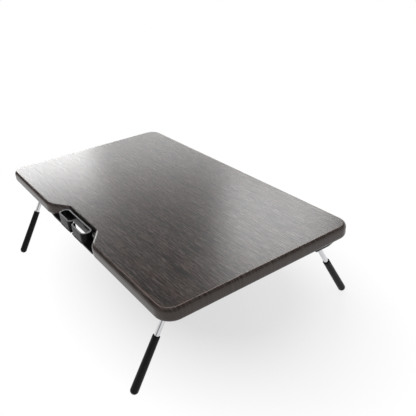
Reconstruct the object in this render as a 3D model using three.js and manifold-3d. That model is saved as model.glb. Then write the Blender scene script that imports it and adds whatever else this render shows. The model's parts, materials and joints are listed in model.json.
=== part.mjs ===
// Monitor riser: a wood-grain board on two folding wire leg frames, with a cable clip in its rear edge.
// Lengths are in millimetres and +Z is up. The origin lies on the desk under the middle of the board,
// +X runs along the board and +Y points to its rear edge, where the cable clip is.
// The legs are unfolded, as in use: they lean outwards and bear on stops under the board.

import * as THREE from 'three';
import { mergeVertices } from 'three/addons/utils/BufferGeometryUtils.js';
import Module from 'manifold-3d';

const wasm = await Module();
wasm.setup();

// Driving sizes

const gap = {
  fit: 0.3, // between a piece and what is cut to hold it
  fold: 2.1, // between a folded sleeve and the underside of the board
  overrun: 1, // how far a cutter reaches past what it cuts
};

const board = {
  length: 420,
  width: 240,
  thickness: 14.5,
  cornerRadius: 18,
  edgeRadius: 4,
};

const ring = {
  length: 72,
  depth: 13.8,
  wall: 1.8,
  rimDrop: 0.5, // from the top of the board down to the rim
  rimRadius: 0.4,
  slit: 4.6,
  lipRadius: 5,
};

const notch = {
  sideRoom: 1.25, // between the ring's end and the foot of the slanted side
  frontRoom: 1.3, // between the ring's front wall and the floor
  setback: 2, // from the rear face of the board to the ring
  flare: 24.95, // how far each side slants outwards from the floor to the mouth
  mouthRadius: 26,
  floorRadius: 12,
};

const clipPlate = {
  thickness: 2,
  sink: 0.2, // into the flange below it
  cornerRadius: 0.6,
  windowRadius: 2,
  windowLap: 1, // from the floor of the notch to the front edge of the window under the ring's front wall
};

const flange = {
  thickness: 2,
  lap: 12, // under the board, past the floor of the notch
  wing: 36.45, // under the board, past the foot of each slanted side
  setback: 5, // from the ring's rear face, between the ring's ends
  wingSetback: 1.5,
  cornerRadius: 4,
  stepRadius: 1,
  innerScrewSpacing: 40,
  screwEdge: 7, // from the flange's end to its outer screws
};

const rod = {
  radius: 2.75,
  bendRadius: 8, // to the middle of the rod
};

const leg = {
  angle: THREE.MathUtils.degToRad(31), // from the vertical
  reach: 102.6, // from the hinge axis to the middle of the round tip
  hingeInset: 32.9, // from the long edges of the board
  frontInset: 24.6, // from the ends of the board to the front legs
  nestPitch: 17, // from a front leg to the rear leg beside it
};

const sleeve = {
  length: 65.2,
  tipRadius: 4.4,
  mouthRadius: 3.9,
  footCut: 0.4, // depth of the flat on which it stands
};

const bracket = {
  thickness: 2.5,
  innerReach: 27, // from the leg's plane towards the middle of the board
  outerReach: 17,
  frontReach: 14.5, // from the hinge axis to the plate's edge, on the side of the folded leg
  rearReach: 16.5,
  cornerRadius: 4,
  saddleStart: 4, // from the bend to the saddle
  saddleLength: 14,
  saddleWall: 3,
  saddleEdgeRadius: 1.5,
  snapShare: 0.58, // how far the saddle wraps past the axis, as a share of the rod's radius
  screwOffset: 10, // from the hinge axis
  stopStart: 2, // along the leg from the hinge axis
  cheekStart: 8.5,
  stopEnd: 14,
  stopBack: 3,
  stopTaper: 2, // how much wider the stop gets towards the plate
  cheek: 2,
  cheekDepth: 4,
  heelEnd: 14.6, // from the leg's plane towards the end of the board
  heelDepth: 10, // below the board
  heelFront: 11.5, // from the hinge axis to the end of the heel's flat, on the side of the folded leg
  heelRear: 7.5,
  heelRise: 2.5, // how far the heel rises from its flat to its rear edge
};

const screw = {
  shankRadius: 1.75,
  length: 11, // under the head
  pointLength: 3,
  headRadius: 3.4,
  headHeight: 2.2,
  crossLength: 3.8,
  crossWidth: 0.9,
  crossDepth: 1.1,
};

// Worked out from the driving sizes

const sleeveRadius = Math.max(sleeve.tipRadius, sleeve.mouthRadius);
const hingeDrop = sleeveRadius + gap.fold;
const hingeHeight = leg.reach * Math.cos(leg.angle) + sleeve.tipRadius - sleeve.footCut;
const underside = hingeHeight + hingeDrop;
const topHeight = underside + board.thickness;
const hingeY = board.width / 2 - leg.hingeInset;
const frontLegX = board.length / 2 - leg.frontInset;
const rearLegX = frontLegX - leg.nestPitch;
const boreRadius = rod.radius + gap.fit;

const ringRear = board.width / 2 - notch.setback;
const ringBack = ringRear - ring.depth;
const notchFloor = ringBack - notch.frontRoom;
const notchDepth = board.width / 2 - notchFloor;
const notchFloorHalf = ring.length / 2 + notch.sideRoom;
const notchMouthHalf = notchFloorHalf + notch.flare;
const flangeHalf = notchFloorHalf + flange.wing;
const clipScrewY = notchFloor - flange.lap / 2;
const clipScrewXs = [
  -flangeHalf + flange.screwEdge,
  -flange.innerScrewSpacing / 2,
  flange.innerScrewSpacing / 2,
  flangeHalf - flange.screwEdge,
];
const saddleMiddle = rod.bendRadius + bracket.saddleStart + bracket.saddleLength / 2;

// Fineness of the round faces, as counts
const rounds = {
  cornerSegments: 4,
  edgeSegments: 4,
  rimSegments: 1,
  rodSides: 12,
  bendSteps: 6,
  legSteps: 2,
  sleeveSides: 20,
  tipSteps: 5,
  screwSides: 10,
  holeSides: 12,
};

const materials = {
  board: new THREE.MeshStandardMaterial({ name: 'board', color: 0x4b4642, roughness: 0.42 }),
  clip: new THREE.MeshStandardMaterial({ name: 'clip', color: 0x18181a, roughness: 0.3 }),
  bracket: new THREE.MeshStandardMaterial({ name: 'bracket', color: 0x1c1c1e, roughness: 0.6 }),
  sleeve: new THREE.MeshStandardMaterial({ name: 'sleeve', color: 0x1e1f20, roughness: 0.5 }),
  rod: new THREE.MeshStandardMaterial({ name: 'rod', color: 0xc8c9cc, roughness: 0.15, metalness: 1 }),
  screw: new THREE.MeshStandardMaterial({ name: 'screw', color: 0x8f9194, roughness: 0.35, metalness: 1 }),
};

// Joining and cutting closed geometries

function weld(geometry) {
  const bare = geometry.clone();
  bare.deleteAttribute('normal');
  bare.deleteAttribute('uv');
  const merged = mergeVertices(bare);
  const index = merged.getIndex().array;
  const kept = [];
  for (let i = 0; i < index.length; i += 3) {
    const [a, b, c] = [index[i], index[i + 1], index[i + 2]];
    if (a !== b && b !== c && c !== a) kept.push(a, b, c);
  }
  merged.setIndex(kept);
  return merged;
}

function toSolid(geometry) {
  const welded = weld(geometry);
  return new wasm.Manifold(new wasm.Mesh({
    numProp: 3,
    vertProperties: new Float32Array(welded.getAttribute('position').array),
    triVerts: new Uint32Array(welded.getIndex().array),
  }));
}

function toGeometry(solid) {
  const mesh = solid.getMesh();
  const geometry = new THREE.BufferGeometry();
  geometry.setAttribute('position', new THREE.BufferAttribute(new Float32Array(mesh.vertProperties), 3));
  geometry.setIndex(new THREE.BufferAttribute(new Uint32Array(mesh.triVerts), 1));
  geometry.computeVertexNormals();
  return geometry;
}

function shaped(added, cut = []) {
  let solid = toSolid(added[0]);
  for (const geometry of added.slice(1)) solid = solid.add(toSolid(geometry));
  for (const geometry of cut) solid = solid.subtract(toSolid(geometry));
  return toGeometry(solid);
}

// Outlines and simple bodies

// A closed outline through corners given as [x, y, radius], each rounded to its own radius
function roundedOutline(corners) {
  const outline = new THREE.Shape();
  corners.forEach(([x, y, radius], i) => {
    const before = corners[(i + corners.length - 1) % corners.length];
    const after = corners[(i + 1) % corners.length];
    const point = new THREE.Vector2(x, y);
    const toBefore = new THREE.Vector2(before[0], before[1]).sub(point).normalize();
    const toAfter = new THREE.Vector2(after[0], after[1]).sub(point).normalize();
    const half = Math.acos(toBefore.dot(toAfter)) / 2;
    const setback = radius / Math.tan(half);
    const centre = toBefore.clone().add(toAfter).setLength(radius / Math.sin(half)).add(point);
    const start = toBefore.clone().multiplyScalar(setback).add(point).sub(centre);
    const end = toAfter.clone().multiplyScalar(setback).add(point).sub(centre);
    const clockwise = toBefore.cross(toAfter) > 0;
    outline.absarc(centre.x, centre.y, radius, start.angle(), end.angle(), clockwise);
  });
  outline.closePath();
  return outline;
}

function rectangle(xFrom, xTo, yFrom, yTo, radius) {
  return roundedOutline([[xFrom, yFrom, radius], [xTo, yFrom, radius], [xTo, yTo, radius], [xFrom, yTo, radius]]);
}

function slab(outline, bottom, top) {
  const settings = { depth: top - bottom, bevelEnabled: false, curveSegments: rounds.cornerSegments };
  return new THREE.ExtrudeGeometry(outline, settings).translate(0, 0, bottom);
}

// A slab whose top and bottom edges are rounded inwards
function softSlab(outline, bottom, top, radius, segments) {
  const settings = {
    depth: top - bottom - 2 * radius,
    bevelThickness: radius,
    bevelSize: radius,
    bevelOffset: -radius,
    bevelSegments: segments,
    curveSegments: rounds.cornerSegments,
  };
  return new THREE.ExtrudeGeometry(outline, settings).translate(0, 0, bottom + radius);
}

function block(xFrom, xTo, yFrom, yTo, zFrom, zTo) {
  const geometry = new THREE.BoxGeometry(xTo - xFrom, yTo - yFrom, zTo - zFrom);
  return geometry.translate((xFrom + xTo) / 2, (yFrom + yTo) / 2, (zFrom + zTo) / 2);
}

// An outline drawn in Y and Z, extruded along X
function profileAlongX(outline, xFrom, xTo) {
  const settings = { depth: xTo - xFrom, bevelEnabled: false, curveSegments: rounds.cornerSegments };
  const toRow = new THREE.Matrix4().makeBasis(
    new THREE.Vector3(0, 1, 0), new THREE.Vector3(0, 0, 1), new THREE.Vector3(1, 0, 0));
  return new THREE.ExtrudeGeometry(outline, settings).applyMatrix4(toRow).translate(xFrom, 0, 0);
}

function uprightHole(x, y, zFrom, zTo, radius) {
  const geometry = new THREE.CylinderGeometry(radius, radius, zTo - zFrom, rounds.holeSides);
  return geometry.rotateX(Math.PI / 2).translate(x, y, (zFrom + zTo) / 2);
}

// Pan-head wood screw that points upwards, with the underside of its head at the origin
function screwGeometry() {
  const profile = [
    [0, screw.length],
    [screw.shankRadius, screw.length - screw.pointLength],
    [screw.shankRadius, 0],
    [screw.headRadius, 0],
    [screw.headRadius, -screw.headHeight / 2],
    [(screw.headRadius + screw.crossLength / 2) / 2, -screw.headHeight],
    [0, -screw.headHeight],
  ].map(([radius, height]) => new THREE.Vector2(radius, height)).reverse();
  const body = new THREE.LatheGeometry(profile, rounds.screwSides).rotateX(Math.PI / 2);
  const [half, width] = [screw.crossLength / 2, screw.crossWidth / 2];
  const [low, high] = [-screw.headHeight - gap.overrun, -screw.headHeight + screw.crossDepth];
  return shaped([body], [
    block(-half, half, -width, width, low, high),
    block(-width, width, -half, half, low, high),
  ]);
}

// The board

function notchedOutline() {
  const [endX, edgeY] = [board.length / 2, board.width / 2];
  return roundedOutline([
    [-endX, -edgeY, board.cornerRadius],
    [endX, -edgeY, board.cornerRadius],
    [endX, edgeY, board.cornerRadius],
    [notchMouthHalf, edgeY, notch.mouthRadius],
    [notchFloorHalf, notchFloor, notch.floorRadius],
    [-notchFloorHalf, notchFloor, notch.floorRadius],
    [-notchMouthHalf, edgeY, notch.mouthRadius],
    [-endX, edgeY, board.cornerRadius],
  ]);
}

function pilotHole(x, y, seat) {
  return uprightHole(x, y, underside - gap.overrun, seat + screw.length + gap.fit, screw.shankRadius + gap.fit);
}

function topBoard() {
  const body = softSlab(notchedOutline(), underside, topHeight, board.edgeRadius, rounds.edgeSegments);
  const holes = [];
  for (const x of clipScrewXs) holes.push(pilotHole(x, clipScrewY, clipScrewSeat));
  for (const { legX, signX, side } of corners) {
    for (const [x, y] of bracketScrewPlaces(legX, signX, side)) holes.push(pilotHole(x, y, bracketScrewSeat));
  }
  return shaped([body], holes);
}

// The cable clip

const clipScrewSeat = underside - flange.thickness - gap.fit;

// The ring's plan: a long ring with round ends, slit in its rear wall, with both lips curled inwards
function ringOutline() {
  const [outer, inner] = [ring.depth / 2, ring.depth / 2 - ring.wall];
  const endX = ring.length / 2 - outer;
  const middle = ringBack + outer;
  const lipY = ringRear - ring.lipRadius;
  const lipX = ring.slit / 2 + ring.lipRadius;
  const lipInner = ring.lipRadius - ring.wall;
  const tip = ring.wall / 2;
  const tipX = ring.slit / 2 + tip;
  const [right, up, left, down] = [0, Math.PI / 2, Math.PI, -Math.PI / 2];
  const outline = new THREE.Shape();
  outline.absarc(lipX, lipY, ring.lipRadius, left, up, true);
  outline.absarc(endX, middle, outer, up, down, true);
  outline.absarc(-endX, middle, outer, down, up, true);
  outline.absarc(-lipX, lipY, ring.lipRadius, up, right, true);
  outline.absarc(-tipX, lipY, tip, right, left, true);
  outline.absarc(-lipX, lipY, lipInner, right, up, false);
  outline.absarc(-endX, middle, inner, up, down, false);
  outline.absarc(endX, middle, inner, down, up, false);
  outline.absarc(lipX, lipY, lipInner, up, left, false);
  outline.absarc(tipX, lipY, tip, right, left, true);
  outline.closePath();
  return outline;
}

// The way for the cables, down through the plate and the flange
function cablePassage(bottom, top) {
  const inner = ring.depth / 2 - ring.wall;
  const endX = ring.length / 2 - ring.wall;
  const pocket = slab(rectangle(-endX, endX, ringBack + ring.wall, ringRear - ring.wall, inner), bottom, top);
  const slitHalf = ring.slit / 2;
  const slit = block(-slitHalf, slitHalf, ringBack + ring.depth / 2, ringRear + gap.overrun, bottom, top);
  return [pocket, slit];
}

// The front wall of the ring is a bridge between its two ends. The window under it runs a little way under the board.
function frontWindow(bottom, top) {
  const endX = ring.length / 2 - ring.depth / 2;
  const frontY = notchFloor - clipPlate.windowLap;
  return slab(rectangle(-endX, endX, frontY, ringBack + ring.depth / 2, clipPlate.windowRadius), bottom, top);
}

// The thin plate that closes the notch beside the ring, flush with the underside of the board
function clipPlateOutline() {
  const slant = Math.hypot(notch.flare, notchDepth) / notchDepth;
  const wallX = (y) => notchFloorHalf + (y - notchFloor) * notch.flare / notchDepth - gap.fit * slant;
  const floorY = notchFloor + gap.fit;
  return roundedOutline([
    [-wallX(floorY), floorY, notch.floorRadius],
    [wallX(floorY), floorY, notch.floorRadius],
    [wallX(ringRear), ringRear, clipPlate.cornerRadius],
    [-wallX(ringRear), ringRear, clipPlate.cornerRadius],
  ]);
}

// The flange under the board. It is drawn back behind the ring, so the pocket isn't closed by a thin strip.
function flangeOutline() {
  const front = notchFloor - flange.lap;
  const [wingRear, middleRear] = [ringRear - flange.wingSetback, ringRear - flange.setback];
  const stepX = ring.length / 2;
  return roundedOutline([
    [-flangeHalf, front, flange.cornerRadius],
    [flangeHalf, front, flange.cornerRadius],
    [flangeHalf, wingRear, flange.cornerRadius],
    [stepX, wingRear, flange.stepRadius],
    [stepX, middleRear, flange.stepRadius],
    [-stepX, middleRear, flange.stepRadius],
    [-stepX, wingRear, flange.stepRadius],
    [-flangeHalf, wingRear, flange.cornerRadius],
  ]);
}

function cableClip() {
  const wall = softSlab(ringOutline(), underside, topHeight - ring.rimDrop, ring.rimRadius, rounds.rimSegments);
  const plate = slab(clipPlateOutline(), underside - clipPlate.sink, underside + clipPlate.thickness);
  const under = slab(flangeOutline(), underside - flange.thickness, underside);
  const [low, high] = [underside - flange.thickness - gap.overrun, underside + clipPlate.thickness + gap.overrun];
  const cuts = cablePassage(low, high);
  for (const x of clipScrewXs) cuts.push(uprightHole(x, clipScrewY, low, high, screw.shankRadius + gap.fit));
  const base = shaped([plate, under], cuts);
  return shaped([base, wall], [frontWindow(low, underside + clipPlate.thickness)]);
}

// A leg frame: one bent rod, drawn in its own plane with the hinge axis along X and the legs down -Z

// The rod's middle line. Each straight and each bend gets its own number of steps.
class BentRod extends THREE.Curve {
  constructor(curves, steps) {
    super();
    this.curves = curves;
    this.steps = steps;
    this.total = steps.reduce((sum, n) => sum + n, 0);
  }

  getPoint(t, target = new THREE.Vector3()) {
    let at = t * this.total;
    let i = 0;
    while (i < this.steps.length - 1 && at > this.steps[i]) {
      at -= this.steps[i];
      i += 1;
    }
    const point = this.curves[i].getPoint(at / this.steps[i]);
    return target.set(point.x, 0, point.y);
  }

  getPointAt(u, target) {
    return this.getPoint(u, target);
  }

  getTangentAt(u, target) {
    return this.getTangent(u, target);
  }
}

function legFrame(legX) {
  const tip = -leg.reach + gap.fit;
  const bendX = legX - rod.bendRadius;
  const bend = -rod.bendRadius;
  const straight = (...points) => new THREE.LineCurve(...points.map(([x, y]) => new THREE.Vector2(x, y)));
  const arc = (x, from, to) => new THREE.EllipseCurve(x, bend, rod.bendRadius, rod.bendRadius, from, to, true);
  const line = new BentRod([
    straight([-legX, tip], [-legX, bend]),
    arc(-bendX, Math.PI, Math.PI / 2),
    straight([-bendX, 0], [bendX, 0]),
    arc(bendX, Math.PI / 2, 0),
    straight([legX, bend], [legX, tip]),
  ], [rounds.legSteps, rounds.bendSteps, rounds.legSteps, rounds.bendSteps, rounds.legSteps]);
  const section = new THREE.Shape();
  section.absarc(0, 0, rod.radius, 0, 2 * Math.PI, false);
  const settings = { extrudePath: line, steps: line.total, curveSegments: rounds.rodSides / 2 };
  return weld(new THREE.ExtrudeGeometry(section, settings));
}

// A sleeve with its round tip at the origin and its mouth up +Z. The flat foot is square to the desk.
function legSleeve(side) {
  const mouth = sleeve.length - sleeve.tipRadius;
  const profile = [];
  for (let i = 0; i <= rounds.tipSteps; i += 1) {
    const turn = (i / rounds.tipSteps) * Math.PI / 2;
    profile.push(new THREE.Vector2(sleeve.tipRadius * Math.sin(turn), -sleeve.tipRadius * Math.cos(turn)));
  }
  profile.push(new THREE.Vector2(sleeve.mouthRadius, mouth));
  profile.push(new THREE.Vector2(boreRadius, mouth));
  profile.push(new THREE.Vector2(boreRadius, 0));
  profile.push(new THREE.Vector2(0, 0));
  const body = new THREE.LatheGeometry(profile, rounds.sleeveSides).rotateX(Math.PI / 2);
  const [wide, top] = [2 * sleeve.tipRadius, sleeve.footCut - sleeve.tipRadius];
  const desk = block(-wide, wide, -wide, wide, top - wide, top).rotateX(-side * leg.angle);
  return shaped([body], [desk]);
}

// The leg brackets

const bracketScrewSeat = underside - bracket.thickness - gap.fit;

const corners = [
  { name: 'rear_right', legX: rearLegX, signX: -1, side: 1 },
  { name: 'rear_left', legX: rearLegX, signX: 1, side: 1 },
  { name: 'front_right', legX: frontLegX, signX: -1, side: -1 },
  { name: 'front_left', legX: frontLegX, signX: 1, side: -1 },
];

function bracketScrewPlaces(legX, signX, side) {
  return [-bracket.screwOffset, bracket.screwOffset].map(
    (offset) => [signX * (legX - saddleMiddle), side * (hingeY + offset)]);
}

// Drawn for the corner at +X and +Y, with the origin on the hinge axis in the leg's plane
function legBracket() {
  const plateBottom = hingeDrop - bracket.thickness;
  const plate = slab(
    rectangle(-bracket.innerReach, bracket.outerReach, -bracket.frontReach, bracket.rearReach, bracket.cornerRadius),
    plateBottom, hingeDrop);

  const saddleHalf = boreRadius + bracket.saddleWall;
  const saddleBottom = -rod.radius * bracket.snapShare;
  const soft = bracket.saddleEdgeRadius;
  const saddleOutline = roundedOutline([
    [-saddleHalf, saddleBottom, soft],
    [saddleHalf, saddleBottom, soft],
    [saddleHalf, hingeDrop - bracket.thickness / 2, soft / 2],
    [-saddleHalf, hingeDrop - bracket.thickness / 2, soft / 2],
  ]);
  const saddleTo = -(rod.bendRadius + bracket.saddleStart);
  const saddle = profileAlongX(saddleOutline, saddleTo - bracket.saddleLength, saddleTo);
  const groove = new THREE.CylinderGeometry(boreRadius, boreRadius, 2 * bracket.innerReach, rounds.rodSides)
    .rotateZ(Math.PI / 2).translate(saddleTo - bracket.innerReach + gap.overrun, 0, 0);

  // A point at a distance along the leg from the axis, and at a height outwards from the leg's middle line
  const sin = Math.sin(leg.angle);
  const cos = Math.cos(leg.angle);
  const at = (along, out) => [along * sin + out * cos, -along * cos + out * sin];
  const face = boreRadius;
  const inner = face - bracket.cheekDepth;
  const lowOuter = at(bracket.stopEnd, face + bracket.stopBack);
  const faceTop = at(bracket.stopStart, face);
  const into = hingeDrop - bracket.thickness / 2;
  const stopOutline = new THREE.Shape([
    at(bracket.stopEnd, inner),
    lowOuter,
    [lowOuter[0] + bracket.stopTaper, into],
    [faceTop[0], into],
    faceTop,
    at(bracket.cheekStart, face),
    at(bracket.cheekStart, inner),
  ].map(([y, z]) => new THREE.Vector2(y, z)));
  const stopHalf = boreRadius + bracket.cheek;
  const stop = profileAlongX(stopOutline, -stopHalf, stopHalf);

  // The solid heel between the stop and the end of the board
  const heelBottom = hingeDrop - bracket.heelDepth;
  const heelOutline = new THREE.Shape([
    [-bracket.frontReach, into],
    [-bracket.heelFront, heelBottom],
    [bracket.heelRear, heelBottom],
    [bracket.rearReach, heelBottom + bracket.heelRise],
    [bracket.rearReach, into],
  ].map(([y, z]) => new THREE.Vector2(y, z)));
  const heel = profileAlongX(heelOutline, stopHalf - bracket.cheek / 2, bracket.heelEnd);

  const past = bracket.cheekDepth + gap.overrun;
  const slotEnd = bracket.stopEnd + bracket.cheekDepth;
  const slot = block(-boreRadius, boreRadius, face - past, face, -slotEnd, -bracket.cheekStart + gap.overrun)
    .rotateX(leg.angle);

  const cuts = [groove, slot];
  for (const offset of [-bracket.screwOffset, bracket.screwOffset]) {
    const [low, high] = [plateBottom - gap.overrun, hingeDrop + gap.overrun];
    cuts.push(uprightHole(-saddleMiddle, offset, low, high, screw.shankRadius + gap.fit));
  }
  return shaped([plate, saddle, stop, heel], cuts);
}

// The whole riser

function addPiece(group, name, geometry, material) {
  const mesh = new THREE.Mesh(geometry, material);
  mesh.name = name;
  group.add(mesh);
  return mesh;
}

const riser = new THREE.Group();
riser.name = 'monitor_riser';

addPiece(riser, 'top_board', topBoard(), materials.board);
addPiece(riser, 'cable_clip', cableClip(), materials.clip);
const screwForm = screwGeometry();
clipScrewXs.forEach((x, i) => {
  addPiece(riser, `cable_clip_screw_${i + 1}`, screwForm, materials.screw).position.set(x, clipScrewY, clipScrewSeat);
});

const frames = [
  { name: 'rear', side: 1, legX: rearLegX },
  { name: 'front', side: -1, legX: frontLegX },
];
for (const { name, side, legX } of frames) {
  const hinge = new THREE.Group();
  hinge.position.set(0, side * hingeY, hingeHeight);
  hinge.rotation.x = side * leg.angle;
  addPiece(hinge, `${name}_leg_frame`, legFrame(legX), materials.rod);
  for (const [hand, signX] of [['right', -1], ['left', 1]]) {
    const tip = addPiece(hinge, `${name}_${hand}_sleeve`, legSleeve(side), materials.sleeve);
    tip.position.set(signX * legX, 0, -leg.reach);
  }
  riser.add(hinge);
}

const bracketForm = legBracket();
for (const { name, legX, signX, side } of corners) {
  const piece = addPiece(riser, `${name}_bracket`, bracketForm, materials.bracket);
  piece.position.set(signX * legX, side * hingeY, hingeHeight);
  piece.scale.set(signX, side, 1);
  bracketScrewPlaces(legX, signX, side).forEach(([x, y], i) => {
    addPiece(riser, `${name}_bracket_screw_${i + 1}`, screwForm, materials.screw).position.set(x, y, bracketScrewSeat);
  });
}

export default riser;
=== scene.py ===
import json
import math

import bpy
import numpy as np
from mathutils import Matrix, Vector


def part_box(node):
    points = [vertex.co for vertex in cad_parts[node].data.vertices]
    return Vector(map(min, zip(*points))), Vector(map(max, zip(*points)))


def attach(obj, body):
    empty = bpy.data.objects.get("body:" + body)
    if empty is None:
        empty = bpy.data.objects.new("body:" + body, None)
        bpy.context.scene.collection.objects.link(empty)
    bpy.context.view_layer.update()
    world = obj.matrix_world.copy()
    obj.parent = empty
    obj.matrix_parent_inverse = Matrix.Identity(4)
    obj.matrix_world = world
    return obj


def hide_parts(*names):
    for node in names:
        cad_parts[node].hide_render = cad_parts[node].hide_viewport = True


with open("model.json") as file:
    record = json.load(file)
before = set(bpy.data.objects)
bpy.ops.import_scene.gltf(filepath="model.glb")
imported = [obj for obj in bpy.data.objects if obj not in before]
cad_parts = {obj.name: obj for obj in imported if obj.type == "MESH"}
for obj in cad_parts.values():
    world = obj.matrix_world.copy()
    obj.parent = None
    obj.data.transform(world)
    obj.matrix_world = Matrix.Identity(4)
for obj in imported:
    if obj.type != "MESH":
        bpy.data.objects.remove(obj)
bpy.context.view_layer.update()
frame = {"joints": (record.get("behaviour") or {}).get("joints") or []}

mm = 0.001

# Places taken from the frame
boardLow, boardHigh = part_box("top_board")
underside, topHeight = boardLow.z, boardHigh.z
hinges = {joint["child"]: joint for joint in frame["joints"]}
hingeY = hinges["rear_legs"]["pos_m"][1]
hingeHeight = hinges["rear_legs"]["pos_m"][2]
feet = {}
for end in ("rear", "front"):
    for hand in ("right", "left"):
        low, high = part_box(f"{end}_{hand}_sleeve")
        feet[end, hand] = (low.x + high.x) / 2


cameraView = {
    "azimuth": 235.69,     # degrees, measured on the board's outline in the photograph
    "elevation": 27.82,
    "roll": -3.495,
    "lens": 44.24,         # mm
    "sensor": 36.0,        # mm
    "place": (-514.6 * mm, 275.8 * mm, 279.2 * mm),  # from the middle of the board's top
    "reach": (0.01, 50.0),  # nearest and furthest distance shown, in metres
}


def makeCamera():
    # The view's back vector comes from azimuth and elevation, its right vector lies level, and both
    # right and up are then turned about the back vector by the roll.
    azimuth, elevation, roll = (math.radians(cameraView[k]) for k in ("azimuth", "elevation", "roll"))
    back = np.array([math.sin(azimuth) * math.cos(elevation), -math.cos(azimuth) * math.cos(elevation),
                     math.sin(elevation)])
    level = np.array([math.cos(azimuth), math.sin(azimuth), 0.0])
    rise = np.cross(back, level)
    right = math.cos(roll) * level + math.sin(roll) * rise
    up = -math.sin(roll) * level + math.cos(roll) * rise
    data = bpy.data.cameras.new("photoCamera")
    data.sensor_width = cameraView["sensor"]
    data.lens = cameraView["lens"]
    data.clip_start, data.clip_end = cameraView["reach"]
    camera = bpy.data.objects.new("photoCamera", data)
    bpy.context.scene.collection.objects.link(camera)
    x, y, z = cameraView["place"]
    pose = np.eye(4)
    pose[:3, 0], pose[:3, 1], pose[:3, 2] = right, up, back
    pose[:3, 3] = (x, y, z + topHeight)
    camera.matrix_world = Matrix(pose.tolist())
    bpy.context.scene.camera = camera


makeCamera()
print("camera done")


def arcLoop(arcs, stepDegrees=6.0):
    # A closed outline made of arcs, joined by straights. Each arc is (centre x, centre y, radius,
    # start, end, side) in degrees: point = centre + radius * ray, and the outward normal is
    # side * ray. Where two arcs touch, the point that they share is kept once. The third array is
    # how far a point can be drawn in before the outline folds over: an outer arc's radius, and a
    # metre, which is no limit, on an inner one.
    points, normals, room = [], [], []
    for x, y, radius, start, end, side in arcs:
        count = max(2, int(math.ceil(abs(end - start) / stepDegrees)) + 1)
        turn = np.radians(np.linspace(start, end, count))
        ray = np.stack([np.cos(turn), np.sin(turn)], axis=1)
        points.append(np.array([x, y]) + radius * ray)
        normals.append(side * ray)
        room.append(np.full(count, radius if side > 0 else 1.0))
    points, normals, room = np.concatenate(points), np.concatenate(normals), np.concatenate(room)
    samePlace = np.linalg.norm(points - np.roll(points, 1, axis=0), axis=1) <= 1e-7
    sameWay = (normals * np.roll(normals, 1, axis=0)).sum(axis=1) > 0.9999
    keep = ~(samePlace & sameWay)
    return points[keep], normals[keep], room[keep]


def mirroredArcs(arcs):
    # The same arcs on the other side of X = 0, from last to first, so the outline runs the same way
    return [(-x, y, radius, 180 - end, 180 - start, side)
            for x, y, radius, start, end, side in arcs[::-1]]


def roundedLoop(corners, stepDegrees=6.0):
    # A counter-clockwise outline through corners (x, y, radius). The arc at each corner touches
    # both of its sides: it starts and ends radius / tan(half angle) from the corner.
    arcs = []
    for i, (x, y, radius) in enumerate(corners):
        here = np.array([x, y])
        back = np.array(corners[i - 1][:2]) - here
        ahead = np.array(corners[(i + 1) % len(corners)][:2]) - here
        back, ahead = back / np.linalg.norm(back), ahead / np.linalg.norm(ahead)
        half = math.acos(float(back @ ahead)) / 2
        middle = back + ahead
        centre = here + middle / np.linalg.norm(middle) * radius / math.sin(half)
        first = here + back * radius / math.tan(half) - centre
        last = here + ahead * radius / math.tan(half) - centre
        start = math.degrees(math.atan2(first[1], first[0]))
        end = math.degrees(math.atan2(last[1], last[0]))
        turn = (end - start + 180.0) % 360.0 - 180.0
        arcs.append((centre[0], centre[1], radius, start, start + turn, 1.0 if turn > 0 else -1.0))
    return arcLoop(arcs, stepDegrees)


def edgeProfile(low, high, lowRadius, highRadius, steps=6, margin=0.4 * mm):
    # Rows of (inset, height) from the bottom face to the top face. Each edge is a quarter circle,
    # or a single sharp row where its radius is 0, and a row just inside each flat keeps the flat's
    # shading flat.
    turn = np.linspace(0.0, math.pi / 2, steps + 1)
    rows = [(lowRadius + margin, low)]
    if lowRadius:
        rows += list(zip(lowRadius * (1 - np.sin(turn)), low + lowRadius * (1 - np.cos(turn))))
    else:
        rows.append((0.0, low))
    if highRadius:
        rows += list(zip(highRadius * (1 - np.cos(turn)), high - highRadius * (1 - np.sin(turn))))
    else:
        rows.append((0.0, high))
    rows.append((highRadius + margin, high))
    return np.array(rows)


def closedGrid(grid):
    # A grid of rows x columns points as one closed body: quads between the rows, whose columns
    # close on themselves, and a flat face over the first row and over the last
    rows, columns = grid.shape[:2]
    r = np.arange(rows - 1)[:, None] * columns
    c = np.arange(columns)[None, :]
    n = (c + 1) % columns
    quads = np.stack([r + c, r + n, r + columns + n, r + columns + c], axis=-1)
    faces = quads.reshape(-1, 4).tolist()
    faces.append(list(range(columns))[::-1])
    faces.append(list(range((rows - 1) * columns, rows * columns)))
    return grid.reshape(-1, 3), faces


def prism(loop, profile, weight=1.0):
    # A body with an outline and rounded edges: point (k, i) = outline point i, drawn in along its
    # normal by weight * the inset of profile row k, at that row's height. A point is never drawn in
    # by more than 97 percent of the room that it has.
    points, normals, room = loop
    inset = np.minimum(profile[:, :1] * weight * np.ones((1, len(points))), 0.97 * room)
    plan = points[None] - inset[..., None] * normals[None]
    height = np.broadcast_to(profile[:, 1][:, None, None], plan.shape[:2] + (1,))
    return closedGrid(np.concatenate([plan, height], axis=2))


def lathe(profile, sides):
    # Points (radius, height) turned about Z: (radius cos a, radius sin a, height)
    turn = np.linspace(0, 2 * math.pi, sides, endpoint=False)
    radius, height = profile[:, :1], profile[:, 1:]
    return closedGrid(np.stack([radius * np.cos(turn), radius * np.sin(turn),
                                np.repeat(height, sides, axis=1)], axis=-1))


def joined(parts):
    # Several closed bodies as one list of vertices and one list of faces
    vertices, faces, offset = [], [], 0
    for v, f in parts:
        vertices.append(v)
        faces += [[i + offset for i in face] for face in f]
        offset += len(v)
    return np.concatenate(vertices), faces


def alongX(part):
    # Turns a body drawn in (Y, Z) and raised along its third axis so that it runs along X
    vertices, faces = part
    return vertices[:, [2, 0, 1]], faces


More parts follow.
